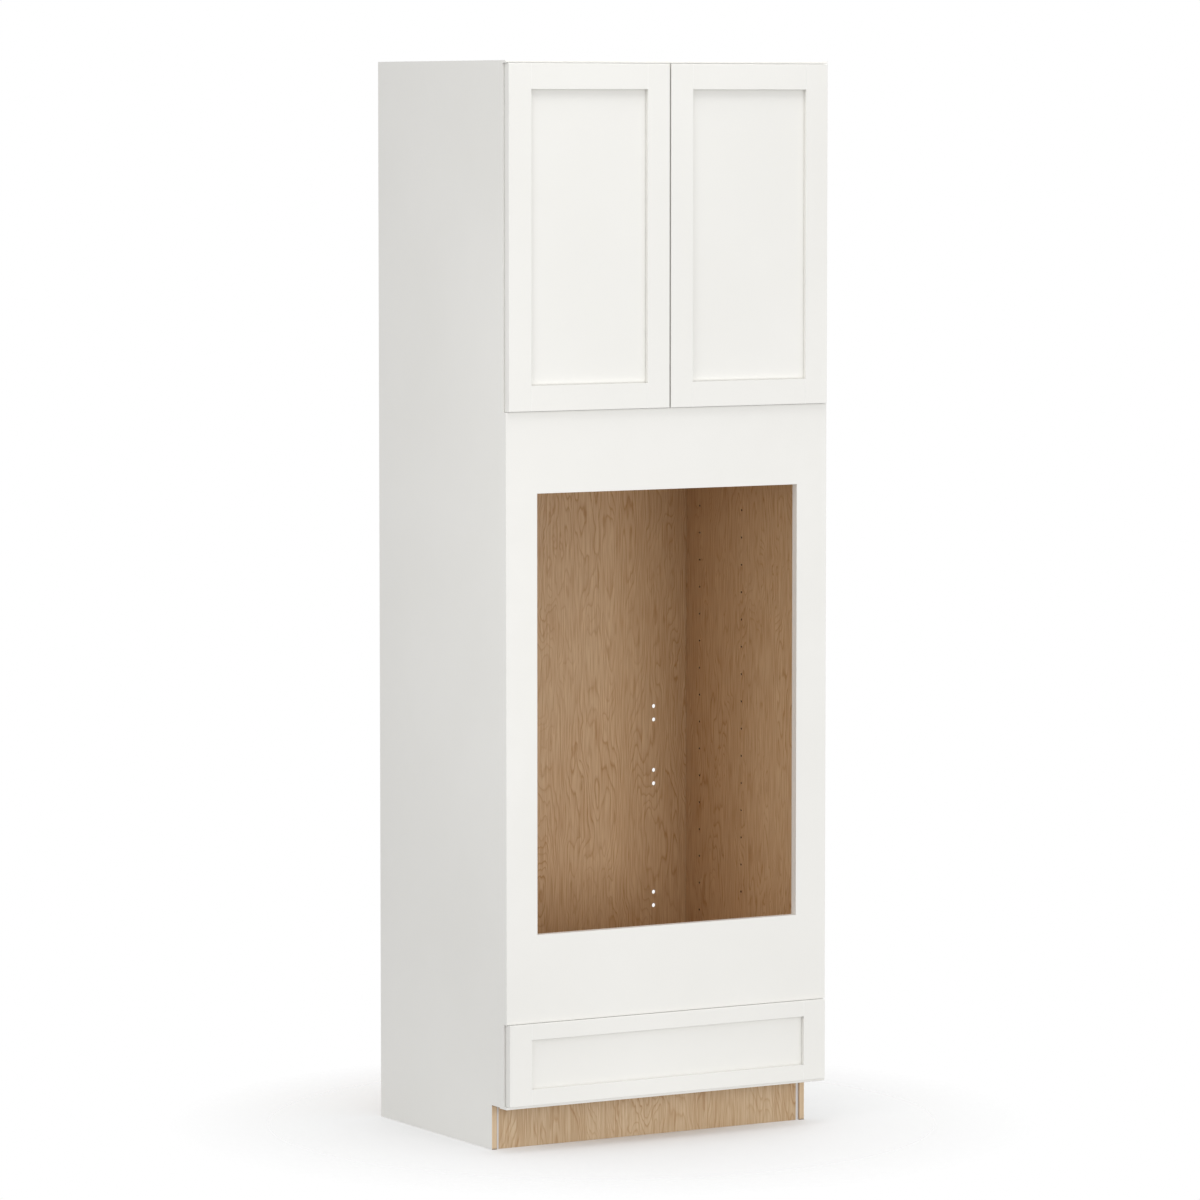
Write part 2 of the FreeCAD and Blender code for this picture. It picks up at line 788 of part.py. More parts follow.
# Cupboard
save("cupboard_shelf", [cupboard_shelf()])
save("shelf_pins", shelf_pins())

# Doors: the left one is drawn, the right one is its mirror image
outer_stile, inner_stile, low_rail, high_rail, panel = framed_front(
    -front_outer, -door_inner, door_bottom, door_top, door_rail_width)
for hinge_height in hinge_heights:
    outer_stile = outer_stile.cut(cup_bore(hinge_height))
left_door = {
    "door_outer_stile": [outer_stile],
    "door_inner_stile": [inner_stile],
    "door_bottom_rail": [low_rail],
    "door_top_rail": [high_rail],
    "door_panel": [panel],
    "door_bumpers": door_bumpers(),
    "hinge_cups": [hinge_cup(z) for z in hinge_heights],
    "hinge_cup_pins": [cup_pin(z) for z in hinge_heights],
    "hinge_links": [hinge_link(z) for z in hinge_heights],
    "hinge_arms": [hinge_arm(z) for z in hinge_heights],
}
for name, solids in left_door.items():
    save("left_" + name, solids)
    save("right_" + name, [mirrored(solid) for solid in solids])
arm_pins = [arm_pin(z) for z in hinge_heights]
save("hinge_arm_pins", arm_pins + [mirrored(pin) for pin in arm_pins])
save("hinge_arm_screws", hinge_screws() + [mirrored(screw) for screw in hinge_screws()])

# Drawer
front_parts = framed_front(-front_outer, front_outer, drawer_bottom, drawer_top, drawer_rail_width)
front_names = ("left_stile", "right_stile", "bottom_rail", "top_rail", "panel")
screw_bores = Part.makeCompound(front_screw_shanks(front_screw_radius + pin_fit_clearance))
for name, solid in zip(front_names, front_parts):
    if name == "panel":
        solid = solid.cut(screw_bores)
    save("drawer_front_" + name, [solid])
save("drawer_box_front", [box_front()])
save("drawer_box_left_side", [mirrored(box_side())])
save("drawer_box_right_side", [box_side()])
save("drawer_box_back", [box_back()])
save("drawer_box_bottom", [box_bottom()])
save("drawer_front_screws", front_screws())
save("slide_cabinet_rails", pair(cabinet_rail()))
save("slide_middle_rails", pair(middle_rail()))
save("slide_drawer_rails", pair(drawer_rail()))
pegs = bracket_pegs(bracket_hole_radius - pin_fit_clearance, peg_head_radius)
save("slide_rear_brackets", pair(rear_bracket()) + pegs + [mirrored(peg) for peg in pegs])
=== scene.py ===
import math

import bmesh
import bpy
from mathutils import Matrix, Vector


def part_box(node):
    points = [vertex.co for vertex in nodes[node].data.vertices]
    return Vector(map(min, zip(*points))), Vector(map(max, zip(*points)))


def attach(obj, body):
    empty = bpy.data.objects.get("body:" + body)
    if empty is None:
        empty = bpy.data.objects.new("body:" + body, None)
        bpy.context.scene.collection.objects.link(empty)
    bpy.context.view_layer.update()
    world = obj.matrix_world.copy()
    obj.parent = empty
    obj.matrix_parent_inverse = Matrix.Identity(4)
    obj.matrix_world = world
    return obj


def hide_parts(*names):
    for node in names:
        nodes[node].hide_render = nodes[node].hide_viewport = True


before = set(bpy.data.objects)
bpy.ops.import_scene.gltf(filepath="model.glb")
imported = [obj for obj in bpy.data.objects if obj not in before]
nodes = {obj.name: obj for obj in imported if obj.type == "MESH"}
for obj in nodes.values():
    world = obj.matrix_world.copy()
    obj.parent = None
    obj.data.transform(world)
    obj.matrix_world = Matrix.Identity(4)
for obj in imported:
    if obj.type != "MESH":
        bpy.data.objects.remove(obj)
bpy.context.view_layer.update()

print("cabinet frame loaded:", len(nodes), "nodes")


# small helpers for building node trees
def addNode(tree, kind, **settings):
    node = tree.nodes.new(kind)
    for key, value in settings.items():
        setattr(node, key, value)
    return node


def feed(tree, target, value):  # links a socket, or sets a plain number or colour on the target itself
    if isinstance(value, bpy.types.NodeSocket):
        tree.links.new(value, target)
    else:
        target.default_value = value


def calc(tree, operation, first, second=0.0, third=0.0):
    node = addNode(tree, "ShaderNodeMath", operation=operation)
    for target, value in zip(node.inputs, (first, second, third)):
        feed(tree, target, value)
    return node.outputs[0]


def remap(tree, value, span, levels=(0.0, 1.0)):  # takes a span of values to a pair of levels
    node = addNode(tree, "ShaderNodeMapRange")
    for target, part in zip(node.inputs, (value, *span, *levels)):
        feed(tree, target, part)
    return node.outputs[0]


def between(tree, share, first, second):  # from the first value to the second as the share goes from 0 to 1
    return remap(tree, share, (0.0, 1.0), (first, second))


def splitAxes(tree, vector):
    node = addNode(tree, "ShaderNodeSeparateXYZ")
    feed(tree, node.inputs[0], vector)
    return dict(zip("xyz", node.outputs))


def stretch(tree, vector, amounts):
    node = addNode(tree, "ShaderNodeVectorMath", operation="MULTIPLY")
    feed(tree, node.inputs[0], vector)
    node.inputs[1].default_value = amounts
    return node.outputs[0]


def noise(tree, vector, scale=1.0, detail=2.0):
    node = addNode(tree, "ShaderNodeTexNoise")
    feed(tree, node.inputs["Vector"], vector)
    node.inputs["Scale"].default_value = scale
    node.inputs["Detail"].default_value = detail
    return node.outputs["Fac"]


narrowSpan = (0.35, 0.65)  # the stretch of a noise's values that is put to use
wideSpan = (0.3, 0.7)


def blendColour(tree, share, first, second):
    node = addNode(tree, "ShaderNodeMix", data_type="RGBA")
    feed(tree, node.inputs[0], share)
    feed(tree, node.inputs[6], first)  # 6 and 7 are the colour sockets, 2 the colour that comes out
    feed(tree, node.inputs[7], second)
    return node.outputs[2]


def softEdges(tree, radius):
    bevel = addNode(tree, "ShaderNodeBevel", samples=4)
    bevel.inputs["Radius"].default_value = radius
    return bevel.outputs["Normal"]


def relief(tree, height, strength, distance, normal=None):
    bump = addNode(tree, "ShaderNodeBump")
    bump.inputs["Strength"].default_value = strength
    bump.inputs["Distance"].default_value = distance
    feed(tree, bump.inputs["Height"], height)
    if normal is not None:
        feed(tree, bump.inputs["Normal"], normal)
    return bump.outputs["Normal"]


def openness(tree, reach, inside=False):  # 0 where surfaces crowd in, or inside, where the piece is thin
    node = addNode(tree, "ShaderNodeAmbientOcclusion", samples=8, inside=inside, only_local=inside)
    node.inputs["Distance"].default_value = reach
    return node.outputs["AO"]


def newFinish(name):
    finish = bpy.data.materials.new(name)
    finish.use_nodes = True
    tree = finish.node_tree
    shader = tree.nodes["Principled BSDF"]
    place = addNode(tree, "ShaderNodeTexCoord")
    return finish, tree, shader, place


def setLooks(tree, shader, colour, rough, normal):
    feed(tree, shader.inputs["Base Color"], colour)
    feed(tree, shader.inputs["Roughness"], rough)
    feed(tree, shader.inputs["Normal"], normal)


def dress(finish, *names):
    for name in names:
        piece = nodes[name]
        piece.data.materials.clear()
        piece.data.materials.append(finish)


# satin paint: fronts, face frame, oven face panel and the outside of the side panels
paint = {
    "colour": (0.882, 0.872, 0.838, 1.0),
    "shade": (0.862, 0.852, 0.816, 1.0),
    "cloud": (2.6, 3.0),      # broad drifts of shade: lumps to a metre, and their detail
    "gloss": (38.0, 4.0),     # patches of gloss, given the same way
    "peel": (700.0, 2.0),     # orange peel of the spray coat
    "rough": (0.36, 0.48),
    "peelStrength": 0.12,
    "peelDepth": 0.0002,
    "peelShare": 0.3,         # height of the peel against the relief of the wood, on a panel that has both
    "edgeSoftness": 0.0009,
    "creviceShade": (0.70, 0.69, 0.65, 1.0),     # painted shade in the corners, gaps and recesses
    "creviceReach": 0.006,
    "creviceSpan": (0.3, 0.95),
    "edge": (0.97, 0.965, 0.94, 1.0),       # painted highlight, paler on the rounded edges
    "highlightReach": 0.002,
    "highlightSpan": (0.35, 0.8),
}


def paintLooks(tree, vector):
    cloud = remap(tree, noise(tree, vector, *paint["cloud"]), narrowSpan)
    colour = blendColour(tree, cloud, paint["colour"], paint["shade"])
    rough = remap(tree, noise(tree, vector, *paint["gloss"]), wideSpan, paint["rough"])
    peel = noise(tree, vector, *paint["peel"])
    return colour, rough, peel


def satinPaint(name, corners):
    finish, tree, shader, place = newFinish(name)
    colour, rough, peel = paintLooks(tree, place.outputs["Object"])
    # painted shade: the paint turns darker where surfaces crowd in, at corners, gaps and recess edges
    if corners:
        clear = remap(tree, openness(tree, paint["creviceReach"]), paint["creviceSpan"])
        colour = blendColour(tree, clear, paint["creviceShade"], colour)
    # painted highlight: paler paint on the rounded outside edges
    body = remap(tree, openness(tree, paint["highlightReach"], inside=True), paint["highlightSpan"])
    colour = blendColour(tree, body, paint["edge"], colour)
    soft = softEdges(tree, paint["edgeSoftness"])
    surface = relief(tree, peel, paint["peelStrength"], paint["peelDepth"], soft)
    setLooks(tree, shader, colour, rough, surface)
    return finish


# maple: growth lines that wander and close into loops, as on a sheet peeled from the log
maple = {
    "lines": 85.0,        # growth lines to a metre across the board
    "waves": (            # lines that each wave shifts the figure by, and waves to a metre across and along
        (34.0, 7.0, 1.2),
        (9.0, 20.0, 3.2),
        (0.5, 110.0, 20.0),
    ),
    "ripple": (3.8, 36.0, 14.0),            # a curl that comes in patches, given the same way
    "ripplePatch": (5.0, 2.6),              # its patches to a metre, across and along
    "rippleSpan": (0.5, 0.62),
    "line": ((0.5, 0.06), (0.7, 0.4), (0.82, 1.0), (0.93, 0.3)),    # darkness on the way through one line
    "lineWeight": (0.5, 1.0),               # faintest and strongest line
    "fade": (9.0, 3.0),                     # patches where the lines fade
    "fadeSpan": (0.36, 0.62),
    "fadeLevels": (0.4, 1.0),
    "fibre": (340.0, 11.0, 3.0),            # fibres to a metre across and along, and their detail
    "fibreSpan": (0.39, 0.65),
    "tone": (6.0, 1.1, 3.0),
    "fleck": (110.0, 11.0, 2.0),
    "fleckSpan": (0.63, 0.74),
    "paleness": (1.06, 1.09, 1.13),         # lighter stretches, against the board's light colour
    "darkness": (0.62, 0.435, 0.255),       # growth lines, against the same
    "fibreShare": 0.46,                     # how much of that darkness each of these takes
    "lineShare": 0.95,
    "fleckShare": 0.55,
    "roughSpan": (0.2, 1.2),
    "fibreHeight": 0.4,
    "lineHeight": -0.6,
    "reliefStrength": 0.3,
    "reliefDepth": 0.0003,
    "edgeSoftness": 0.0006,
}


def mapleFigure():
    group = bpy.data.node_groups.new("mapleFigure", "ShaderNodeTree")
    group.interface.new_socket("Vector", in_out="INPUT", socket_type="NodeSocketVector")
    for name in ("Grain", "Fibre", "Tone", "Fleck"):
        group.interface.new_socket(name, in_out="OUTPUT", socket_type="NodeSocketFloat")
    vector = addNode(group, "NodeGroupInput").outputs[0]

    def grained(across, along, detail=2.0):  # noise drawn out along the board
        return noise(group, stretch(group, vector, (across, along, across)), 1.0, detail)

    rings = calc(group, "MULTIPLY", splitAxes(group, vector)["x"], maple["lines"])
    for shift, across, along in maple["waves"]:
        rings = calc(group, "MULTIPLY_ADD", grained(across, along), shift, rings)
    shift, across, along = maple["ripple"]
    patch = remap(group, grained(*maple["ripplePatch"]), maple["rippleSpan"], (0.0, shift))
    rings = calc(group, "MULTIPLY_ADD", grained(across, along), patch, rings)

    ramp = addNode(group, "ShaderNodeValToRGB")
    for place, level in maple["line"]:
        ramp.color_ramp.elements.new(place).color = (level, level, level, 1.0)
    for end in (0, -1):
        ramp.color_ramp.elements[end].color = (0.0, 0.0, 0.0, 1.0)
    feed(group, ramp.inputs[0], calc(group, "FRACT", rings))
    chance = addNode(group, "ShaderNodeTexWhiteNoise", noise_dimensions="1D")
    feed(group, chance.inputs["W"], calc(group, "FLOOR", rings))
    weight = between(group, chance.outputs["Value"], *maple["lineWeight"])
    fade = remap(group, grained(*maple["fade"]), maple["fadeSpan"], maple["fadeLevels"])
    grain = calc(group, "MULTIPLY", calc(group, "MULTIPLY", ramp.outputs[0], weight), fade)

    fibre = grained(*maple["fibre"])
    tone = grained(*maple["tone"])
    fleck = remap(group, grained(*maple["fleck"]), maple["fleckSpan"])
    out = addNode(group, "NodeGroupOutput")
    for target, value in zip(out.inputs, (grain, fibre, tone, fleck)):
        feed(group, target, value)
    return group


mapleGroup = mapleFigure()

# each board: its grain order (across, along and through), its light colour and how shiny it is
boards = {
    "backMaple": {"order": "xzy", "light": (0.775, 0.565, 0.344), "rough": (0.38, 0.52),
                  "nodes": ("back_panel",)},
    "deckMaple": {"order": "yxz", "light": (0.69, 0.50, 0.30), "rough": (0.38, 0.52),
                  "nodes": ("top_panel", "cupboard_floor", "oven_deck", "bottom_panel", "cupboard_shelf")},
    "toeMaple": {"order": "xzy", "light": (0.615, 0.455, 0.283), "rough": (0.45, 0.6),
                 "nodes": ("toe_kick_board",)},
    "sideMaple": {"order": "yzx", "light": (0.683, 0.492, 0.300), "rough": (0.38, 0.52), "painted": True,
                  "nodes": ("left_side_panel", "right_side_panel")},
    "railLumber": {"order": "zxy", "light": (0.66, 0.50, 0.33), "rough": (0.6, 0.75), "solid": True,
                   "nodes": ("top_hanging_rail", "middle_hanging_rail", "lower_hanging_rail")},
    "cleatLumber": {"order": "zyx", "light": (0.66, 0.50, 0.33), "rough": (0.6, 0.75), "solid": True,
                    "nodes": ("oven_deck_cleats", "toe_kick_blocks")},
    "drawerFrontMaple": {"order": "zxy", "light": (0.70, 0.54, 0.36), "rough": (0.32, 0.45), "solid": True,
                         "nodes": ("drawer_box_front", "drawer_box_back")},
    "drawerSideMaple": {"order": "zyx", "light": (0.70, 0.54, 0.36), "rough": (0.32, 0.45), "solid": True,
                        "nodes": ("drawer_box_left_side", "drawer_box_right_side")},
    "drawerFloorMaple": {"order": "xyz", "light": (0.68, 0.52, 0.34), "rough": (0.32, 0.45),
                         "nodes": ("drawer_box_bottom",)},
    "bandMaple": {"order": "zxy", "light": (0.69, 0.50, 0.30), "rough": (0.38, 0.52), "solid": True,
                  "nodes": ()},
}
cutEdge = {
    "facing": 0.5,                          # a face that points this much along an axis counts as facing it
    "ply": 0.0021,                          # thickness of one ply
    "plySpan": (0.42, 0.58),                # share of it where one colour runs into the next
    "plyColours": ((0.76, 0.60, 0.405, 1.0), (0.61, 0.445, 0.275, 1.0)),
    "plyFibre": 0.22,
    "endSpan": (0.3, 0.75),                 # fibres on the sawn ends of solid boards
    "endLevels": (0.35, 0.7),
}
# painted shade: near black in the shelf-pin holes and along the inside corners of the boards
boreShade = {
    "colour": (0.06, 0.032, 0.018, 1.0),
    "reach": 0.006,
    "faceSpan": (0.15, 0.55),               # openness where a corner of the board turns to painted shade
    "wallSpan": (0.45, 0.90),               # the walls of a hole take the painted shade sooner
}


def tinted(colour, factors):
    return tuple(part * factor for part, factor in zip(colour, factors)) + (1.0,)


def mapleBoard(name, board):
    across, along, through = board["order"]
    finish, tree, shader, place = newFinish(name)
    split = splitAxes(tree, place.outputs["Object"])
    join = addNode(tree, "ShaderNodeCombineXYZ")
    for target, axis in zip(join.inputs, (across, along, through)):
        feed(tree, target, split[axis])
    figure = addNode(tree, "ShaderNodeGroup", node_tree=mapleGroup)
    feed(tree, figure.inputs[0], join.outputs[0])
    grain, fibre, tone, fleck = figure.outputs
    light = board["light"] + (1.0,)
    pale = tinted(board["light"], maple["paleness"])
    dark = tinted(board["light"], maple["darkness"])
    colour = blendColour(tree, remap(tree, tone, narrowSpan), light, pale)
    fibreDark = remap(tree, fibre, maple["fibreSpan"], (0.0, maple["fibreShare"]))
    colour = blendColour(tree, fibreDark, colour, dark)
    colour = blendColour(tree, calc(tree, "MULTIPLY", grain, maple["lineShare"]), colour, dark)
    colour = blendColour(tree, calc(tree, "MULTIPLY", fleck, maple["fleckShare"]), colour, dark)
    rough = remap(tree, calc(tree, "ADD", grain, fibre), maple["roughSpan"], board["rough"])
    lineHeight = calc(tree, "MULTIPLY", grain, maple["lineHeight"])
    height = calc(tree, "MULTIPLY_ADD", fibre, maple["fibreHeight"], lineHeight)

    normal = splitAxes(tree, place.outputs["Normal"])
    if board.get("solid"):  # sawn ends are darker than the long sides
        onEdge = calc(tree, "GREATER_THAN", calc(tree, "ABSOLUTE", normal[along]), cutEdge["facing"])
        cut = blendColour(tree, remap(tree, fibre, cutEdge["endSpan"], cutEdge["endLevels"]), light, dark)
    else:  # sheet edges show the plies
        onEdge = calc(tree, "LESS_THAN", calc(tree, "ABSOLUTE", normal[through]), cutEdge["facing"])
        layer = calc(tree, "PINGPONG", split[through], cutEdge["ply"])
        layer = remap(tree, layer, [cutEdge["ply"] * end for end in cutEdge["plySpan"]])
        cut = blendColour(tree, layer, *cutEdge["plyColours"])
        cut = blendColour(tree, calc(tree, "MULTIPLY", fibre, cutEdge["plyFibre"]), cut, dark)
    colour = blendColour(tree, onEdge, colour, cut)

    # painted shade where the board is crowded in, in holes and inside corners
    boreSpan = [between(tree, onEdge, *ends) for ends in zip(boreShade["faceSpan"], boreShade["wallSpan"])]
    clear = remap(tree, openness(tree, boreShade["reach"]), boreSpan)
    colour = blendColour(tree, clear, boreShade["colour"], colour)

    if board.get("painted"):  # outside face in the paint of the fronts
        outward = calc(tree, "MULTIPLY", normal[through], calc(tree, "SIGN", split[through]))
        onPaint = calc(tree, "GREATER_THAN", outward, cutEdge["facing"])
        coat, coatRough, peel = paintLooks(tree, place.outputs["Object"])
        colour = blendColour(tree, onPaint, colour, coat)
        rough = between(tree, onPaint, rough, coatRough)
        height = between(tree, onPaint, height, calc(tree, "MULTIPLY", peel, paint["peelShare"]))
    soft = softEdges(tree, maple["edgeSoftness"])
    surface = relief(tree, height, maple["reliefStrength"], maple["reliefDepth"], soft)
    setLooks(tree, shader, colour, rough, surface)
    dress(finish, *board["nodes"])
    return finish


finishes = {}
for boardName, boardLooks in boards.items():
    finishes[boardName] = mapleBoard(boardName, boardLooks)
print("maple boards finished:", len(boards))

# painted pieces are found by these words in their names
frontWords = (
    "door_outer_stile", "door_inner_stile", "door_bottom_rail", "door_top_rail", "door_panel",
    "drawer_front_left_stile", "drawer_front_right_stile", "drawer_front_bottom_rail",
    "drawer_front_top_rail", "drawer_front_panel", "oven_face_panel",
)
frameWords = ("face_stile", "face_top_rail", "face_upper_rail", "face_lower_rail", "face_bottom_rail")
for paintName, words, corners in (("frontPaint", frontWords, True), ("framePaint", frameWords, False)):
    coated = [name for name in nodes if any(word in name for word in words)]
    dress(satinPaint(paintName, corners), *coated)
    print(paintName, "on", len(coated), "pieces")


# plated steel: slides, screws and pins in zinc, hinges in nickel
metals = {
    "zincSteel": {
        "colour": (0.60, 0.61, 0.63, 1.0), "tint": (0.50, 0.52, 0.55, 1.0), "rough": (0.30, 0.46),
        "spangle": 120.0, "drawn": (900.0, 25.0, 900.0), "relief": 0.08,
        "nodes": ("slide_cabinet_rails", "slide_middle_rails", "slide_drawer_rails", "slide_rear_brackets",
                  "drawer_front_screws", "hinge_arm_screws", "shelf_pins"),
    },
    "nickelSteel": {
        "colour": (0.82, 0.81, 0.78, 1.0), "tint": (0.79, 0.78, 0.75, 1.0), "rough": (0.36, 0.42),
        "spangle": 60.0, "drawn": (70.0, 70.0, 70.0), "relief": 0.02,
        "nodes": ("left_hinge_cups", "right_hinge_cups", "left_hinge_links", "right_hinge_links",
                  "left_hinge_arms", "right_hinge_arms", "left_hinge_cup_pins", "right_hinge_cup_pins",
                  "hinge_arm_pins"),
    },
}
plating = {"detail": 3.0, "depth": 0.0001, "edgeSoftness": 0.0003}  # the same on both


def platedSteel(name, metal):
    finish, tree, shader, place = newFinish(name)
    vector = place.outputs["Object"]
    spangle = addNode(tree, "ShaderNodeTexVoronoi")
    feed(tree, spangle.inputs["Vector"], vector)
    spangle.inputs["Scale"].default_value = metal["spangle"]
    patch = splitAxes(tree, spangle.outputs["Color"])["x"]
    colour = blendColour(tree, patch, metal["colour"], metal["tint"])
    shader.inputs["Metallic"].default_value = 1.0
    drawn = noise(tree, stretch(tree, vector, metal["drawn"]), 1.0, plating["detail"])
    rough = remap(tree, drawn, wideSpan, metal["rough"])
    soft = softEdges(tree, plating["edgeSoftness"])
    surface = relief(tree, drawn, metal["relief"], plating["depth"], soft)
    setLooks(tree, shader, colour, rough, surface)
    dress(finish, *metal["nodes"])
    return finish


for metalName, metalLooks in metals.items():
    finishes[metalName] = platedSteel(metalName, metalLooks)

# plastic and rubber
softParts = {
    "greyPlastic": {
        "colour": (0.74, 0.73, 0.73, 1.0), "tint": (0.69, 0.68, 0.68, 1.0), "rough": (0.45, 0.6),
        "subsurface": 0.0, "nodes": ("toe_kick_end_strips",),
    },
    "bumperRubber": {
        "colour": (0.78, 0.78, 0.75, 1.0), "tint": (0.70, 0.70, 0.67, 1.0), "rough": (0.35, 0.5),
        "subsurface": 0.3, "nodes": ("left_door_bumpers", "right_door_bumpers"),
    },
}
mouldSkin = {
    "cloud": (160.0, 3.0),                  # lumps to a metre, and their detail
    "pebble": (1800.0, 2.0),
    "strength": 0.1,
    "depth": 0.0001,
    "lightReach": (0.002, 0.002, 0.002),    # how far light goes below the surface
}


def moulded(name, part):
    finish, tree, shader, place = newFinish(name)
    vector = place.outputs["Object"]
    cloud = noise(tree, vector, *mouldSkin["cloud"])
    colour = blendColour(tree, cloud, part["colour"], part["tint"])
    rough = remap(tree, cloud, wideSpan, part["rough"])
    shader.inputs["Subsurface Weight"].default_value = part["subsurface"]
    shader.inputs["Subsurface Radius"].default_value = mouldSkin["lightReach"]
    pebble = noise(tree, vector, *mouldSkin["pebble"])
    surface = relief(tree, pebble, mouldSkin["strength"], mouldSkin["depth"])
    setLooks(tree, shader, colour, rough, surface)
    dress(finish, *part["nodes"])
    return finish


for partName, partLooks in softParts.items():
    finishes[partName] = moulded(partName, partLooks)
print("hardware finished:", len(metals) + len(softParts), "finishes")

# small hardware, made as meshes round the solids of the frame
weldGap = 1e-7
meshGap = 1e-6      # corners of a frame mesh nearer than this are the same corner
sharpAngle = 35.0   # edges bent more than this stay crisp


def solidBoxes(name):  # lowest and highest corner of each separate solid in a node
    build = bmesh.new()
    build.from_mesh(nodes[name].data)
    bmesh.ops.remove_doubles(build, verts=build.verts, dist=meshGap)
    waiting = set(build.verts)
    boxes = []
    while waiting:
        edge = [waiting.pop()]
        solid = []
        while edge:
            vert = edge.pop()
            solid.append(vert.co)
            near = {link.other_vert(vert) for link in vert.link_edges} & waiting
            waiting -= near
            edge += near
        low = tuple(min(co[axis] for co in solid) for axis in range(3))
        high = tuple(max(co[axis] for co in solid) for axis in range(3))
        boxes.append((low, high))
    build.free()
    return [(Vector(low), Vector(high)) for low, high in sorted(boxes)]


def keepMesh(name, build):
    bmesh.ops.recalc_face_normals(build, faces=build.faces)
    mesh = bpy.data.meshes.new(name)
    build.to_mesh(mesh)
    build.free()
    return mesh


def turned(profile, steps=32):  # a profile of radius and height, spun about its upright axis
    build = bmesh.new()
    path = [build.verts.new((radius, 0.0, height)) for radius, height in profile]
    line = [build.edges.new(ends) for ends in zip(path, path[1:])]
    bmesh.ops.spin(build, geom=path + line, axis=(0, 0, 1), cent=(0, 0, 0), angle=2 * math.pi, steps=steps)
    bmesh.ops.remove_doubles(build, verts=build.verts, dist=weldGap)
    return keepMesh("turned", build)


def addObject(name, data):
    item = bpy.data.objects.new(name, data)
    bpy.context.scene.collection.objects.link(item)
    return item


def finalMesh(item):  # the mesh of an object with its modifiers or its curve's thickness
    return bpy.data.meshes.new_from_object(item.evaluated_get(bpy.context.evaluated_depsgraph_get()))


def towards(place, direction):  # puts a shape's top at a place, facing a direction
    return Matrix.Translation(place) @ Vector(direction).to_track_quat("Z", "Y").to_matrix().to_4x4()


def gather(name, shape, places, finish, body):  # copies of one shape as one piece
    build = bmesh.new()
    for place in places:
        copied = shape.copy()
        copied.transform(place)
        build.from_mesh(copied)
        bpy.data.meshes.remove(copied)
    mesh = keepMesh(name, build)
    mesh.shade_smooth()
    mesh.set_sharp_from_angle(angle=math.radians(sharpAngle))
    mesh.materials.append(finish)
    piece = addObject(name, mesh)
    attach(piece, body)
    return piece


def crossRecess(shape, screw):  # the driver's cross, cut into the head
    reach, half, depth = screw["cross"] / 2, screw["crossWidth"] / 2, screw["crossDepth"]
    quarter = [(half, half), (half, reach), (-half, reach)]
    build = bmesh.new()
    outline = []
    for turn in range(4):
        spin = Matrix.Rotation(turn * math.pi / 2, 3, "Z")
        outline += [build.verts.new(spin @ Vector((x, y, -depth))) for x, y in quarter]
    grown = bmesh.ops.extrude_face_region(build, geom=[build.faces.new(outline)])
    raised = [item for item in grown["geom"] if isinstance(item, bmesh.types.BMVert)]
    bmesh.ops.translate(build, verts=raised, vec=(0, 0, 2 * depth))
    driver = addObject("driver", keepMesh("driver", build))
    blank = addObject("blank", shape)
    cut = blank.modifiers.new("cross", "BOOLEAN")
    cut.object = driver
    cut.solver = "EXACT"
    recessed = finalMesh(blank)
    for helper in (driver, blank):
        bpy.data.meshes.remove(helper.data)
    return recessed


# shares of the head's radius and height, and of the thread's pitch
panHead = ((0.0, 0.0), (0.7, 0.05), (0.93, 0.3), (1.0, 0.65), (1.0, 1.0))
thread = {"root": 0.35, "crest": 0.7}


def screwShape(screw, length):  # pan head, threads and a point, head upwards with its top at zero
    tall, shank, pitch = screw["headHeight"], screw["shankRadius"], screw["pitch"]
    profile = [(across * screw["headRadius"], -down * tall) for across, down in panHead]
    profile.append((shank, -tall))
    drop = tall
    while drop + 2 * pitch < length:
        profile.append((shank - screw["threadDepth"], -drop - thread["root"] * pitch))
        profile.append((shank, -drop - thread["crest"] * pitch))
        drop += pitch
    profile.append((0.0, -length))
    return crossRecess(turned(profile), screw)


hingeScrew = {
    "headRadius": 0.0038, "headHeight": 0.0018,
    "shankRadius": 0.002, "threadDepth": 0.0004, "pitch": 0.0014,
    "cross": 0.0044, "crossWidth": 0.001, "crossDepth": 0.0011,
}


def hingeScrews():
    boxes = solidBoxes("hinge_arm_screws")
    low, high = boxes[0]
    shape = screwShape(hingeScrew, high.x - low.x)
    places = []
    for low, high in boxes:
        middle = (low + high) / 2
        inward = -math.copysign(1.0, low.x)
        headX = -inward * min(abs(low.x), abs(high.x))
        places.append(towards((headX, middle.y, middle.z), (inward, 0, 0)))
    screws = gather("hingeArmScrews", shape, places, finishes["zincSteel"], "cabinet")
    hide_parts("hinge_arm_screws")


frontScrew = {
    "headRadius": 0.0045, "headHeight": 0.0025,
    "shankRadius": 0.002, "threadDepth": 0.0004, "pitch": 0.0016,
    "cross": 0.0052, "crossWidth": 0.0011, "crossDepth": 0.0014,
}


def drawerFrontScrews():
    boxes = solidBoxes("drawer_front_screws")
    low, high = boxes[0]
    shape = screwShape(frontScrew, high.y - low.y)
    places = []
    for low, high in boxes:
        middle = (low + high) / 2
        places.append(towards((middle.x, high.y, middle.z), (0, 1, 0)))
    screws = gather("drawerFrontScrews", shape, places, finishes["zincSteel"], "drawer")
    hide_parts("drawer_front_screws")


# flat screws that spread the dowels of each hinge cup
cupScrew = {
    "headRadius": 0.0033, "headHeight": 0.0008,
    "shankRadius": 0.0016, "threadDepth": 0.0003, "pitch": 0.0012,
    "cross": 0.0040, "crossWidth": 0.0009, "crossDepth": 0.0006,
    "length": 0.008, "proud": 0.0003, "spread": 0.045, "fromCentre": 0.0095,
}


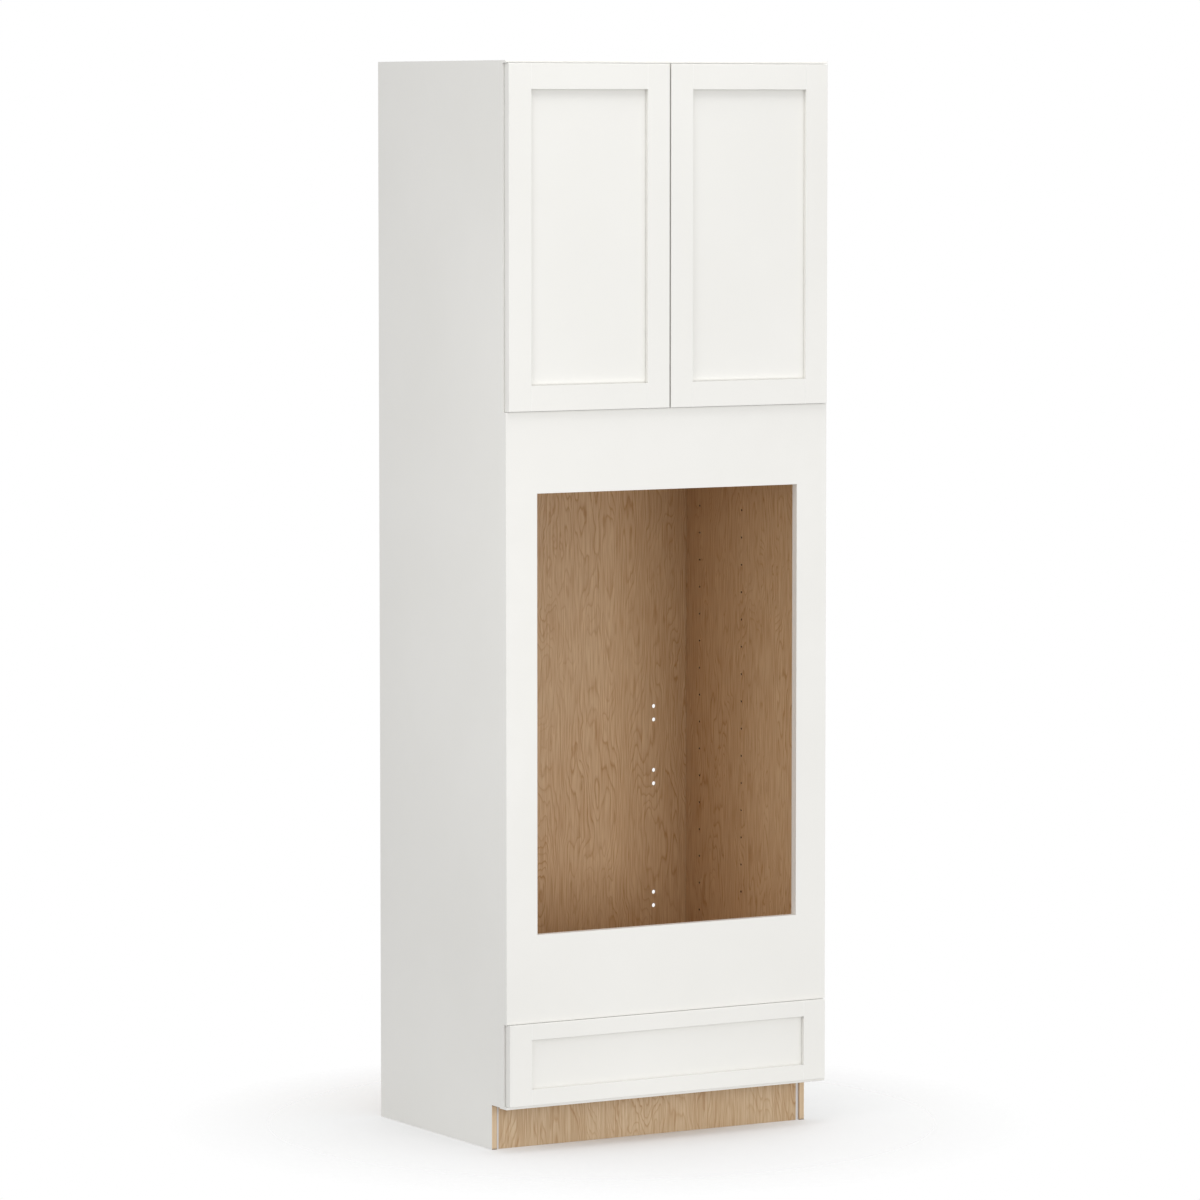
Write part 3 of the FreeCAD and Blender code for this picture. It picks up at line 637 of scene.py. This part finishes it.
def cupScrews(side):
    shape = screwShape(cupScrew, cupScrew["length"])
    places = []
    for low, high in solidBoxes(side + "_hinge_cups"):
        middle = (low + high) / 2
        x = middle.x - math.copysign(cupScrew["fromCentre"], middle.x)
        for z in (middle.z - cupScrew["spread"] / 2, middle.z + cupScrew["spread"] / 2):
            places.append(towards((x, high.y + cupScrew["proud"], z), (0, 1, 0)))
    gather(side + "CupScrews", shape, places, finishes["nickelSteel"], side + "_door")


# riveted ends of the hinge arm pins, with shares of their radius and height
pinCap = {
    "radius": 0.0024, "height": 0.0007, "steps": 24,
    "curve": ((0.0, 1.0), (0.55, 0.92), (0.88, 0.55), (1.0, 0.0), (0.0, 0.0)),
}


def hingePinCaps():
    profile = [(across * pinCap["radius"], up * pinCap["height"]) for across, up in pinCap["curve"]]
    shape = turned(profile, pinCap["steps"])
    places = []
    for low, high in solidBoxes("hinge_arm_pins"):
        middle = (low + high) / 2
        places.append(towards((middle.x, middle.y, high.z), (0, 0, 1)))
        places.append(towards((middle.x, middle.y, low.z), (0, 0, -1)))
    gather("hingePinCaps", shape, places, finishes["nickelSteel"], "cabinet")


bumper = {"rim": 0.25, "rings": 8}  # height of the straight rim against the whole, rings in the dome


def doorBumpers(side):
    node = side + "_door_bumpers"
    boxes = solidBoxes(node)
    low, high = boxes[0]
    radius = (high.z - low.z) / 2
    tall = high.y - low.y
    rim = tall * bumper["rim"]
    bends = [ring * math.pi / 2 / bumper["rings"] for ring in range(1, bumper["rings"] + 1)]
    dome = [(radius * math.sin(bend), rim + (tall - rim) * math.cos(bend)) for bend in bends]
    shape = turned([(0.0, tall)] + dome + [(radius, 0.0), (0.0, 0.0)])
    places = []
    for low, high in boxes:
        middle = (low + high) / 2
        places.append(towards((middle.x, low.y, middle.z), (0, 1, 0)))
    rubber = finishes["bumperRubber"]
    domes = gather(side + "DoorBumpers", shape, places, rubber, side + "_door")
    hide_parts(node)


# strip of maple glued to the front of the shelf
edgeBand = {"thickness": 0.0008, "round": 0.0006, "segments": 4}


def shelfEdgeBand():
    low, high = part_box("cupboard_shelf")
    thick = edgeBand["thickness"]
    size = Vector((high.x - low.x, thick, high.z - low.z))
    middle = Vector(((low.x + high.x) / 2, low.y - thick / 2, (low.z + high.z) / 2))
    build = bmesh.new()
    bmesh.ops.create_cube(build, size=1.0, matrix=Matrix.Diagonal(size.to_4d()))
    frontEdges = [edge for edge in build.edges if all(vert.co.y < 0 for vert in edge.verts)]
    bmesh.ops.bevel(build, geom=frontEdges, offset=edgeBand["round"], segments=edgeBand["segments"],
                    profile=0.5, affect="EDGES")
    band = keepMesh("band", build)
    places = [Matrix.Translation(middle)]
    gather("shelfEdgeBand", band, places, finishes["bandMaple"], "cabinet")


# staples that hold the back panel to the oven deck
staple = {"crown": 0.011, "wire": 0.0005, "leg": 0.002, "bend": 0.0008, "spacing": 0.085, "endInset": 0.03}


def stapleShape():
    half, bend, leg = staple["crown"] / 2, staple["bend"], staple["leg"]
    route = [(-half, -leg), (-half, -bend), (bend - half, 0.0)]
    route += [(half - bend, 0.0), (half, -bend), (half, -leg)]
    curve = bpy.data.curves.new("staple", "CURVE")
    curve.dimensions = "3D"
    curve.bevel_depth = staple["wire"]
    curve.use_fill_caps = True
    line = curve.splines.new("POLY")
    line.points.add(len(route) - 1)
    for point, (x, height) in zip(line.points, route):
        point.co = (x, 0.0, height, 1.0)
    shape = finalMesh(addObject("staple", curve))
    bpy.data.curves.remove(curve)
    return shape


def backStaples():
    low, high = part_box("oven_deck")
    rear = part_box("back_panel")[1].y + staple["wire"]
    height = (low.z + high.z) / 2
    run = high.x - low.x - 2 * staple["endInset"]
    count = round(run / staple["spacing"])
    places = []
    for turn in range(count + 1):
        x = low.x + staple["endInset"] + turn * run / count
        places.append(towards((x, rear, height), (0, 1, 0)))
    gather("backPanelStaples", stapleShape(), places, finishes["zincSteel"], "cabinet")


hingeScrews()
drawerFrontScrews()
for doorSide in ("left", "right"):
    cupScrews(doorSide)
    doorBumpers(doorSide)
hingePinCaps()
shelfEdgeBand()
backStaples()
print("small hardware placed")


# pale studio floor
floorLooks = {
    "radius": 6.0, "segments": 96,
    "colour": (0.88, 0.88, 0.88, 1.0), "tint": (0.90, 0.90, 0.90, 1.0), "rough": 0.7,
    "cloud": (1.3, 3.0),                    # lumps to a metre, and their detail
    "fadeSpan": (0.15, 1.0),                # the floor melts into the backdrop between these distances
}


def studioFloor():
    mesh = bpy.data.meshes.new("studioFloor")
    build = bmesh.new()
    bmesh.ops.create_circle(build, cap_ends=True, radius=floorLooks["radius"],
                            segments=floorLooks["segments"])
    build.to_mesh(mesh)
    build.free()
    finish, tree, shader, place = newFinish("paleFloor")
    cloud = noise(tree, place.outputs["Object"], *floorLooks["cloud"])
    colour = blendColour(tree, cloud, floorLooks["colour"], floorLooks["tint"])
    feed(tree, shader.inputs["Base Color"], colour)
    shader.inputs["Roughness"].default_value = floorLooks["rough"]
    length = addNode(tree, "ShaderNodeVectorMath", operation="LENGTH")
    feed(tree, length.inputs[0], place.outputs["Object"])
    fade = remap(tree, length.outputs["Value"], floorLooks["fadeSpan"], (1.0, 0.0))
    feed(tree, shader.inputs["Alpha"], fade)
    mesh.materials.append(finish)
    addObject("studioFloor", mesh)


# soft boxes: size is the side of the square in metres, power is in watts
softBoxes = {
    "frontLight": {"place": (0.6, -3.6, 0.6), "aim": (0.0, 0.0, 0.9), "size": 1.0, "power": 23.3},
    "rightLight": {"place": (2.6, -3.2, 1.2), "aim": (0.0, 0.0, 1.0), "size": 1.2, "power": 11.8},
    "leftLight": {"place": (-1.9, -1.2, 1.4), "aim": (-0.4, -0.1, 1.4), "size": 0.8, "power": 7.6},
    "highLight": {"place": (-0.9, -1.3, 4.4), "aim": (0.0, -0.3, 1.6), "size": 1.6, "power": 22.3},
    "topLight": {"place": (0.1, -0.8, 4.0), "aim": (0.0, -0.4, 1.4), "size": 1.0, "power": 11.6},
}


def softBox(name, place, aim, size, power):
    data = bpy.data.lights.new(name, "AREA")
    data.shape = "SQUARE"
    data.size = size
    data.energy = power
    lamp = addObject(name, data)
    lamp.location = place
    lamp.rotation_euler = (Vector(aim) - Vector(place)).to_track_quat("-Z", "Y").to_euler()


# sky: strength under the horizon, at it, overhead, and behind the cabinet as the camera looks
sky = {
    "below": 0.30, "level": 0.80, "above": 0.50, "behind": 1.0,
    "belowSpan": (-0.6, 0.0),
    "away": (0.5, 0.866),                   # the way the camera looks, in x and y
    "behindSpan": (0.1, 0.7),
}


def studioSky():
    world = bpy.data.worlds.new("studioSky")
    bpy.context.scene.world = world
    world.use_nodes = True
    tree = world.node_tree
    background = tree.nodes["Background"]
    background.inputs["Color"].default_value = (1.0, 1.0, 1.0, 1.0)
    ray = splitAxes(tree, addNode(tree, "ShaderNodeTexCoord").outputs["Generated"])
    awayX, awayY = sky["away"]
    behind = calc(tree, "MULTIPLY_ADD", ray["x"], awayX, calc(tree, "MULTIPLY", ray["y"], awayY))
    high = between(tree, ray["z"], sky["level"], sky["above"])
    low = remap(tree, ray["z"], sky["belowSpan"], (sky["below"] - sky["level"], 0.0))
    glow = remap(tree, behind, sky["behindSpan"], (calc(tree, "ADD", high, low), sky["behind"]))
    seen = addNode(tree, "ShaderNodeLightPath").outputs["Is Camera Ray"]  # the backdrop itself is white
    feed(tree, background.inputs["Strength"], between(tree, seen, glow, sky["behind"]))


photoCamera = {
    "place": (-6.9419, -11.9899, 2.3293),
    "yaw": 30.055, "pitch": 4.63,           # degrees to the right, and down
    "focal": 6053.95, "frame": 1200.0,      # focal length and picture width, in pixels
    "sensor": 36.0, "clipEnd": 200.0,
}


def setCamera():
    data = bpy.data.cameras.new("photoCamera")
    data.sensor_width = photoCamera["sensor"]
    data.lens = photoCamera["focal"] / photoCamera["frame"] * photoCamera["sensor"]
    data.clip_end = photoCamera["clipEnd"]
    camera = addObject("photoCamera", data)
    camera.location = photoCamera["place"]
    pitch, yaw = math.radians(photoCamera["pitch"]), math.radians(photoCamera["yaw"])
    camera.rotation_euler = (math.pi / 2 - pitch, 0.0, -yaw)
    bpy.context.scene.camera = camera


studioFloor()
for boxName, box in softBoxes.items():
    softBox(boxName, **box)
studioSky()
setCamera()
bpy.context.scene.view_settings.view_transform = "Standard"
print("studio and camera set")
